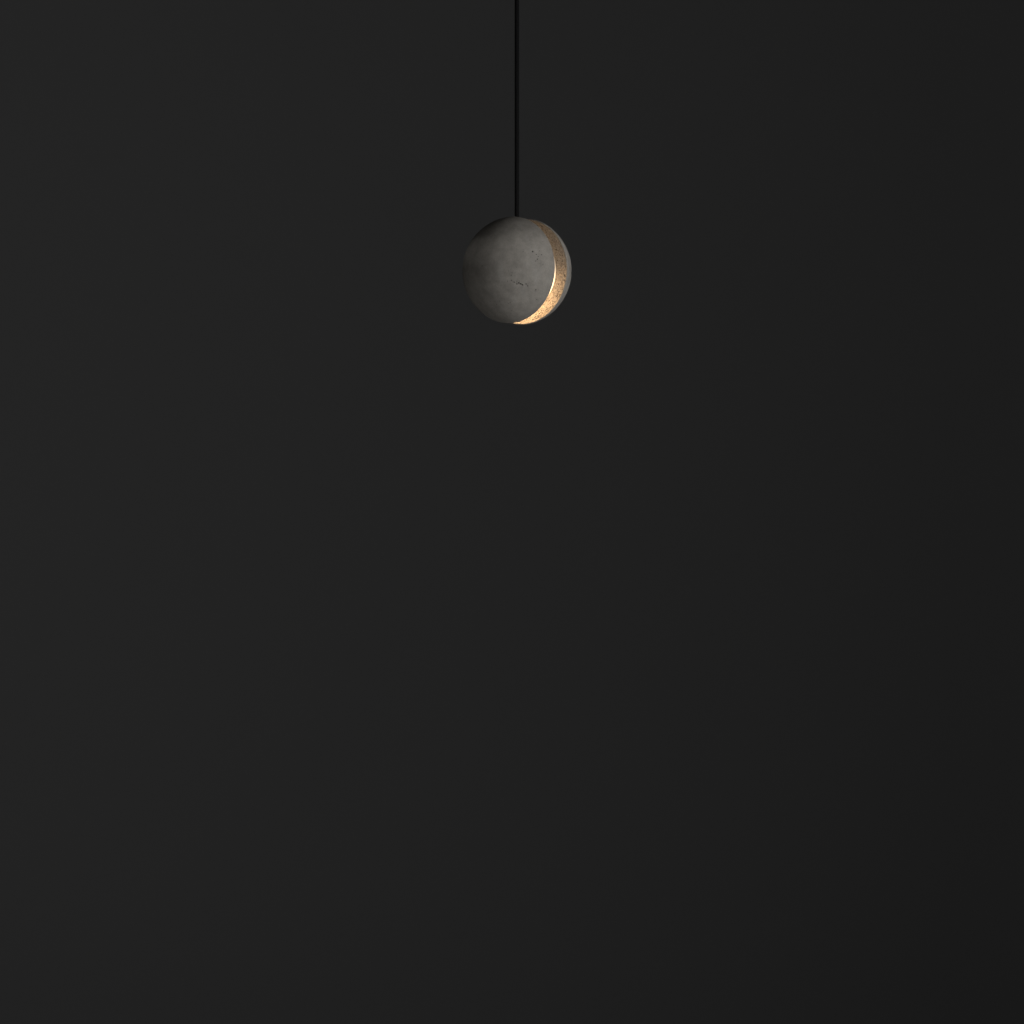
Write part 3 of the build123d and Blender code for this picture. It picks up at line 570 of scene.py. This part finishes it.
def opal_glow():
    """Opal acrylic lit from inside: strongest at the bottom, faint above, dimmer at the drum's edges."""
    material = finish(
        "opal_glow",
        (0.80, 0.76, 0.68),
        rough=0.42,
        mottle=(0.01, 0.05),
        grain=(0.0004, 0.03),
        spread=0.06,
        bump=0.00001,
    )
    tree = material.node_tree
    surface = tree.nodes["Principled BSDF"]
    place = object_place(tree)
    axes = node(tree, "ShaderNodeSeparateXYZ", {0: place}).outputs
    share = ranged(tree, axes["Z"], BALL_Z - DRUM_R, BALL_Z + 0.15 * DRUM_R, 1.0, 0.0)
    eased = math_node(tree, "POWER", share, 1.4)
    level = ranged(tree, eased, 0.0, 1.0, GLOW_AT_TOP, 1.0)
    rise = math_node(tree, "SUBTRACT", axes["Z"], BALL_Z)
    around = math_node(tree, "ARCTAN2", axes["X"], math_node(tree, "MULTIPLY", rise, -1.0))
    beat = math_node(tree, "COSINE", math_node(tree, "MULTIPLY", around, CHIPS_PER_RADIAN))
    off_middle = math_node(tree, "DIVIDE", math_node(tree, "ABSOLUTE", axes["Y"]), SLOT_HALF)
    low_down = ranged(tree, rise, 0.0, 0.4 * DRUM_R, 1.0, 0.0)
    near_chips = math_node(tree, "MULTIPLY", ranged(tree, off_middle, 0.0, 0.7, 0.10, 0.0), low_down)
    spot = math_node(tree, "MULTIPLY", beat, near_chips)
    edged = ranged(tree, off_middle, 0.55, 1.0, 1.0, GLOW_AT_EDGE)
    even = math_node(tree, "MULTIPLY", level, edged)
    spotty = math_node(tree, "MULTIPLY", even, math_node(tree, "ADD", spot, 1.0))
    tree.links.new(scaled(tree, GLOW, spotty), surface.inputs["Emission Color"])
    surface.inputs["Emission Strength"].default_value = GLOW_STRENGTH
    return material


# ------------------------------------------------------------ cord

YARNS_ROUND = 12.0
YARN_PITCH = 1.1 * MM


def cord_braid():
    """Black textile braid: two families of yarns that cross round the cord."""
    material = finish(
        "cord_braid",
        (0.0045, 0.0045, 0.0047),
        rough=0.85,
        mottle=(0.02, 0.3),
        grain=(0.0003, 0.5),
        spread=0.1,
        bump=0.00002,
        Specular_IOR_Level=0.2,
    )
    tree = material.node_tree
    surface = tree.nodes["Principled BSDF"]
    place = object_place(tree)
    axes = node(tree, "ShaderNodeSeparateXYZ", {0: place}).outputs
    turn = math_node(tree, "ARCTAN2", axes["Y"], axes["X"])
    yarns = math_node(tree, "MULTIPLY", turn, YARNS_ROUND)
    rise = math_node(tree, "MULTIPLY", axes["Z"], tau / YARN_PITCH)
    left = math_node(tree, "SINE", math_node(tree, "ADD", yarns, rise))
    right = math_node(tree, "SINE", math_node(tree, "SUBTRACT", yarns, rise))
    weave = math_node(tree, "MAXIMUM", left, right)
    old_relief = surface.inputs["Normal"].links[0].from_node
    relief = node(
        tree,
        "ShaderNodeBump",
        {"Height": weave, "Distance": 0.00012, "Strength": 0.8, "Normal": old_relief.outputs["Normal"]},
    )
    tree.links.new(relief.outputs["Normal"], surface.inputs["Normal"])
    toned = base_tone(surface)
    # Painted shade and light: the colour follows the weave's height, darker in the gaps between yarns and lighter
    # on their crowns.
    painted_shade_yarn = scaled(tree, toned, ranged(tree, weave, -0.6, 1.0, 0.55, 1.5))
    tree.links.new(painted_shade_yarn, surface.inputs["Base Color"])
    return material


def straight_curve(name, heights, material):
    """A round cord straight down the lamp's axis, through points at those heights."""
    curve = bpy.data.curves.new(name, "CURVE")
    curve.dimensions = "3D"
    spline = curve.splines.new("NURBS")
    spline.points.add(len(heights) - 1)
    for point, z in zip(spline.points, heights):
        point.co = (0, 0, z, 1)
    spline.order_u = 3
    spline.use_endpoint_u = True
    spline.resolution_u = 8
    curve.bevel_depth = CORD_R
    curve.bevel_resolution = 8
    curve.use_fill_caps = True
    curve.materials.append(material)
    cord = bpy.data.objects.new(name, curve)
    SCENE.collection.objects.link(cord)
    return cord


CORD_BRAID = cord_braid()
NEAR_END = 12 * CORD_R

hanging_cord = straight_curve(
    "hanging_cord",
    [PIVOT.z, PIVOT.z - NEAR_END, TWIST.z + NEAR_END, TWIST.z],
    CORD_BRAID,
)
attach(hanging_cord, "hanging_cord")
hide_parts("cord_drop")

for name, part, body in (("tail_cord", "cord_tail", "ceiling_set"), ("inner_cord", "cord_end", "ball")):
    low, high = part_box(part)
    top = high.z
    bottom = PIVOT.z if part == "cord_tail" else low.z
    stub = straight_curve(name, [top, (top + bottom) / 2, bottom], CORD_BRAID)
    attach(stub, body)
    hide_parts(part)


# ------------------------------------------------------------ finishes of the frame's own pieces

MATERIALS = {
    "canopy_paint": finish(
        "canopy_paint", (0.022, 0.022, 0.023), 0.55, mottle=(0.03, 0.2), grain=(0.00045, 0.25),
        bump=0.00004,
    ),
    "black_metal": finish(
        "black_metal", (0.018, 0.018, 0.019), 0.42, mottle=(0.01, 0.2), grain=(0.0002, 0.15), bump=0.00001
    ),
    "black_screw": finish(
        "black_screw", (0.02, 0.02, 0.021), 0.38, mottle=(0.004, 0.3), grain=(0.0002, 0.2), bump=0.00001,
        Metallic=0.7,
    ),
    "zinc_steel": finish(
        "zinc_steel", (0.56, 0.57, 0.58), 0.34, mottle=(0.006, 0.25), grain=(0.0003, 0.1), bump=0.00001,
        Metallic=1.0,
    ),
    "brass": finish(
        "brass", (0.72, 0.50, 0.20), 0.3, mottle=(0.005, 0.2), grain=(0.0002, 0.1), bump=0.00001,
        Metallic=1.0,
    ),
    "hub_aluminium": finish(
        "hub_aluminium", (0.66, 0.66, 0.66), 0.45, mottle=(0.01, 0.2), grain=(0.0005, 0.15), Metallic=1.0
    ),
    "nylon": finish("nylon", (0.62, 0.60, 0.55), 0.5, grain=(0.0004, 0.05)),
    "block_plastic": finish("block_plastic", (0.74, 0.73, 0.69), 0.45, grain=(0.0004, 0.05)),
    "driver_case": finish("driver_case", (0.66, 0.66, 0.64), 0.55, grain=(0.0005, 0.12), bump=0.00005),
    "foam_tape": finish("foam_tape", (0.03, 0.03, 0.03), 0.95, grain=(0.0004, 0.5), bump=0.0001),
    "wire_insulation": finish("wire_insulation", (0.10, 0.045, 0.02), 0.4, mottle=(0.01, 0.1)),
    "core_insulation": finish("core_insulation", (0.30, 0.015, 0.012), 0.4, mottle=(0.01, 0.1)),
    "earth_insulation": finish("earth_insulation", (0.10, 0.22, 0.03), 0.4, mottle=(0.01, 0.1)),
    "cord_sheath": CORD_BRAID,
    "seal_rubber": finish("seal_rubber", (0.015, 0.015, 0.015), 0.8, grain=(0.0004, 0.2)),
    "circuit_board": finish("circuit_board", (0.75, 0.74, 0.70), 0.35, grain=(0.0005, 0.05)),
    "led_phosphor": finish("led_phosphor", (0.80, 0.55, 0.10), 0.3, grain=(0.0002, 0.1)),
    "glowing_diffuser": opal_glow(),
    "concrete": CONCRETE_SKIN,
}

slot_of = {part["node"]: part["material_slot"] for part in frame["record"]["subparts"]}
for name, piece in nodes.items():
    piece.data.materials.clear()
    piece.data.materials.append(MATERIALS[slot_of[name]])


# ------------------------------------------------------------ repeated pieces, by geometry nodes


def new_generator(name, inputs):
    """An empty geometry tree with named inputs, and its two end nodes."""
    tree = bpy.data.node_groups.new(name, "GeometryNodeTree")
    tree.interface.new_socket(name="Geometry", in_out="INPUT", socket_type="NodeSocketGeometry")
    for label, kind, value in inputs:
        socket = tree.interface.new_socket(name=label, in_out="INPUT", socket_type=kind)
        if value is not None:
            socket.default_value = value
    tree.interface.new_socket(name="Geometry", in_out="OUTPUT", socket_type="NodeSocketGeometry")
    return tree, tree.nodes.new("NodeGroupInput").outputs, tree.nodes.new("NodeGroupOutput")


def finish_generator(tree, instances, given, out):
    """Instances made real, smooth and of the given material: the end of every tree."""
    real = node(tree, "GeometryNodeRealizeInstances", {"Geometry": instances}).outputs[0]
    smooth = node(tree, "GeometryNodeSetShadeSmooth", {"Geometry": real}).outputs[0]
    dressed = node(tree, "GeometryNodeSetMaterial", {"Geometry": smooth, "Material": given["Material"]})
    tree.links.new(dressed.outputs[0], out.inputs[0])


def generated(name, tree, base, values):
    """The tree's result on a base mesh, as a plain mesh object."""
    source = bpy.data.objects.new(name + "_base", base)
    SCENE.collection.objects.link(source)
    modifier = source.modifiers.new("generator", "NODES")
    modifier.node_group = tree
    for item in tree.interface.items_tree:
        if item.in_out == "INPUT" and item.name in values:
            modifier[item.identifier] = values[item.name]
    depsgraph = bpy.context.evaluated_depsgraph_get()
    mesh = bpy.data.meshes.new_from_object(source.evaluated_get(depsgraph), depsgraph=depsgraph)
    mesh.name = name
    source.modifiers.remove(modifier)
    bpy.data.objects.remove(source)
    made = bpy.data.objects.new(name, mesh)
    SCENE.collection.objects.link(made)
    return made


def sand_grain():
    """Sand and small stones: quartz, tan, brown and a few almost black."""
    material = finish(
        "sand_grain", (0.5, 0.45, 0.38), 0.75, mottle=(0.002, 0.3), grain=(0.0003, 0.2), bump=0.00003,
        Specular_IOR_Level=0.3,
    )
    tree = material.node_tree
    surface = tree.nodes["Principled BSDF"]
    tone = node(tree, "ShaderNodeAttribute", attribute_name="tone").outputs["Fac"]
    ramp = node(tree, "ShaderNodeValToRGB", {"Fac": tone})
    stops = [
        (0.0, (0.030, 0.023, 0.017)),
        (0.14, (0.080, 0.052, 0.031)),
        (0.34, (0.25, 0.185, 0.125)),
        (0.62, (0.42, 0.36, 0.29)),
        (1.0, (0.56, 0.51, 0.43)),
    ]
    while len(ramp.color_ramp.elements) < len(stops):
        ramp.color_ramp.elements.new(0.5)
    for element, (place, colour) in zip(ramp.color_ramp.elements, stops):
        element.position = place
        element.color = rgba(colour)
    toned = base_tone(surface)
    speckled = mixed(tree, 0.8, toned, ramp.outputs["Color"])
    tree.links.new(speckled, surface.inputs["Base Color"])
    return material


SAND_GRAIN = sand_grain()


def make_grain_tree():
    """Small stones bedded in a surface, with their own sizes, turns and tones."""
    tree, given, out = new_generator(
        "bedded_grains",
        [
            ("Spacing", "NodeSocketFloat", 0.001),
            ("Least Radius", "NodeSocketFloat", 0.0003),
            ("Greatest Radius", "NodeSocketFloat", 0.0006),
            ("Seed", "NodeSocketInt", 1),
            ("Material", "NodeSocketMaterial", None),
        ],
    )
    spread = node(
        tree,
        "GeometryNodeDistributePointsOnFaces",
        {
            "Mesh": given["Geometry"],
            "Distance Min": given["Spacing"],
            "Density Max": 1.2e6,
            "Seed": given["Seed"],
        },
        distribute_method="POISSON",
    )
    stone = node(tree, "GeometryNodeMeshIcoSphere", {"Radius": 1.0, "Subdivisions": 1}).outputs["Mesh"]
    radius = node(
        tree,
        "FunctionNodeRandomValue",
        {2: given["Least Radius"], 3: given["Greatest Radius"], "Seed": given["Seed"]},
    ).outputs[1]
    shape = node(
        tree, "FunctionNodeRandomValue", {0: (0.65, 0.65, 0.65), 1: (1.2, 1.2, 1.2), "Seed": 11},
        data_type="FLOAT_VECTOR",
    ).outputs[0]
    size = scaled(tree, shape, radius)
    turn = node(
        tree, "FunctionNodeRandomValue", {0: (0.0, 0.0, 0.0), 1: (tau, tau, tau), "Seed": 12},
        data_type="FLOAT_VECTOR",
    ).outputs[0]
    placed = node(
        tree,
        "GeometryNodeInstanceOnPoints",
        {"Points": spread.outputs["Points"], "Instance": stone, "Rotation": turn, "Scale": size},
    ).outputs[0]
    tone = node(tree, "FunctionNodeRandomValue", {"Seed": 13}).outputs[1]
    toned = node(
        tree,
        "GeometryNodeStoreNamedAttribute",
        {"Geometry": placed, "Name": "tone", "Value": tone},
        domain="INSTANCE",
    ).outputs[0]
    finish_generator(tree, toned, given, out)
    return tree


def make_rib_tree():
    """Upright grip ribs evenly spaced round a ring of points."""
    tree, given, out = new_generator(
        "grip_ribs",
        [
            ("Length", "NodeSocketFloat", 0.008),
            ("Rib Radius", "NodeSocketFloat", 0.0003),
            ("Material", "NodeSocketMaterial", None),
        ],
    )
    rib = node(
        tree,
        "GeometryNodeMeshCylinder",
        {"Vertices": 10, "Radius": given["Rib Radius"], "Depth": given["Length"]},
    ).outputs["Mesh"]
    placed = node(
        tree, "GeometryNodeInstanceOnPoints", {"Points": given["Geometry"], "Instance": rib}
    ).outputs[0]
    finish_generator(tree, placed, given, out)
    return tree


def ring_band(name, inner, outer, y, count=180):
    """A flat ring across the ball's axis, at that y, to scatter grains on."""
    bm = bmesh.new()
    zip_rings(bm, upright_ring(bm, inner, y, count), upright_ring(bm, outer, y, count), 0)
    mesh = bpy.data.meshes.new(name)
    bm.to_mesh(mesh)
    bm.free()
    return mesh


def point_ring(name, radius, z, count):
    """Loose points round the cord's axis, at that height."""
    mesh = bpy.data.meshes.new(name)
    points = [(radius * cos(tau * i / count), radius * sin(tau * i / count), z) for i in range(count)]
    mesh.from_pydata(points, [], [])
    return mesh


GRAINS = make_grain_tree()
RIBS = make_rib_tree()
GRAIN_SINK = 0.36 * MM

for name, side, seed in (("front_grains", -1, 21), ("rear_grains", 1, 22)):
    bed = ring_band(name, REBATE_R + 0.8 * MM, FACE_OUTER_R - 1.0 * MM, side * (SLOT_HALF + GRAIN_SINK))
    values = {
        "Spacing": 0.95 * MM,
        "Least Radius": 0.24 * MM,
        "Greatest Radius": 0.56 * MM,
        "Seed": seed,
        "Material": SAND_GRAIN,
    }
    grains = generated(name, GRAINS, bed, values)
    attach(grains, "ball")

grip_low, grip_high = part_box("cord_grip_nut")
gland_low, gland_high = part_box("ball_gland_nut")
RIB_BED = 0.05 * MM

for name, body, half_width, bottom, top, count, rib_radius in (
    (
        "grip_nut_ribs", "ceiling_set", (grip_high.x - grip_low.x) / 2,
        grip_low.z + 3.0 * MM, grip_high.z - 0.5 * MM, 36, 0.30 * MM,
    ),
    (
        "gland_nut_ribs", "ball", (gland_high.x - gland_low.x) / 2,
        gland_low.z + 0.5 * MM, gland_low.z + 6.0 * MM, 30, 0.28 * MM,
    ),
):
    ring = point_ring(name, half_width - RIB_BED, (bottom + top) / 2, count)
    values = {"Length": top - bottom, "Rib Radius": rib_radius, "Material": MATERIALS["black_metal"]}
    ribs = generated(name, RIBS, ring, values)
    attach(ribs, body)


# ------------------------------------------------------------ stage, light and camera

FLOOR_Z = BALL_Z - 1.4
STAGE_R = 5.2
STAGE_BEND = 2.4
STAGE_TOP = 7.0
STAGE_FLAT = 1.4
BEND_STEPS = 12
STAGE_POINTS = 96


def make_stage():
    """A pale floor that rises in one smooth bend into a wall all round."""
    bm = bmesh.new()
    bend_start = STAGE_R - STAGE_BEND
    section = [(0.0, FLOOR_Z), (STAGE_FLAT, FLOOR_Z), (bend_start, FLOOR_Z)]
    for i in range(1, BEND_STEPS + 1):
        a = pi / 2 * i / BEND_STEPS
        section.append((bend_start + STAGE_BEND * sin(a), FLOOR_Z + STAGE_BEND * (1 - cos(a))))
    section.append((STAGE_R, STAGE_TOP))
    rings = []
    for radius, z in section:
        count = STAGE_POINTS if radius > 0 else 1
        angles = [tau * i / count for i in range(count)]
        rings.append([bm.verts.new((radius * cos(a), radius * sin(a), z)) for a in angles])
    for a, b in zip(rings, rings[1:]):
        zip_rings(bm, a, b, 0)
    bmesh.ops.recalc_face_normals(bm, faces=bm.faces)
    bmesh.ops.reverse_faces(bm, faces=bm.faces)
    mesh = bpy.data.meshes.new("stage")
    bm.to_mesh(mesh)
    bm.free()
    stage = bpy.data.objects.new("stage", mesh)
    paint = finish("stage_paint", (0.62, 0.62, 0.62), 0.9, mottle=(0.8, 0.03), grain=(0.02, 0.01), bump=0.0)
    mesh.materials.append(paint)
    SCENE.collection.objects.link(stage)


make_stage()

VIEW_TURN = radians(34.2)
FORWARD = Vector((-sin(VIEW_TURN), cos(VIEW_TURN), 0))
RIGHT = Vector((cos(VIEW_TURN), sin(VIEW_TURN), 0))
UP = Vector((0, 0, 1))


def soft_light(name, way, distance, size, power, spread):
    """A round soft light that faces the ball from that way."""
    lamp = bpy.data.lights.new(name, "AREA")
    lamp.shape = "DISK"
    lamp.size = size
    lamp.energy = power
    lamp.spread = radians(spread)
    holder = bpy.data.objects.new(name, lamp)
    holder.location = BALL_CENTRE + way.normalized() * distance
    holder.rotation_mode = "QUATERNION"
    holder.rotation_quaternion = (-way).to_track_quat("-Z", "Y")
    holder.visible_camera = False
    SCENE.collection.objects.link(holder)


KEY_TURN = radians(50)
soft_light("key_light", RIGHT * sin(KEY_TURN) - FORWARD * cos(KEY_TURN) - UP * 0.02, 1.15, 0.6, 2.27, 110)
soft_light("front_fill", -RIGHT * 0.15 - FORWARD - UP * 0.4, 1.6, 1.0, 0.62, 90)
soft_light("back_light", FORWARD + UP * 0.17, 3.0, 0.3, 2.1, 50)
soft_light("ceiling_light", UP, 1.25, 0.12, 1.2, 70)

world = bpy.data.worlds.new("studio")
world.use_nodes = True
sky = world.node_tree.nodes["Background"]
sky.inputs["Color"].default_value = (1, 1, 1, 1)
sky.inputs["Strength"].default_value = 0.02
SCENE.world = world
SCENE.view_settings.view_transform = "Standard"

CAMERA_DISTANCE = 2.773
CAMERA_DROP = 0.265
CAMERA_LEFT = 0.0054
lens = bpy.data.cameras.new("camera")
lens.sensor_width = 36.0
lens.lens = 88.7
camera = bpy.data.objects.new("camera", lens)
camera.location = BALL_CENTRE - FORWARD * CAMERA_DISTANCE - RIGHT * CAMERA_LEFT - UP * CAMERA_DROP
camera.rotation_mode = "QUATERNION"
camera.rotation_quaternion = FORWARD.to_track_quat("-Z", "Y")
SCENE.collection.objects.link(camera)
SCENE.camera = camera
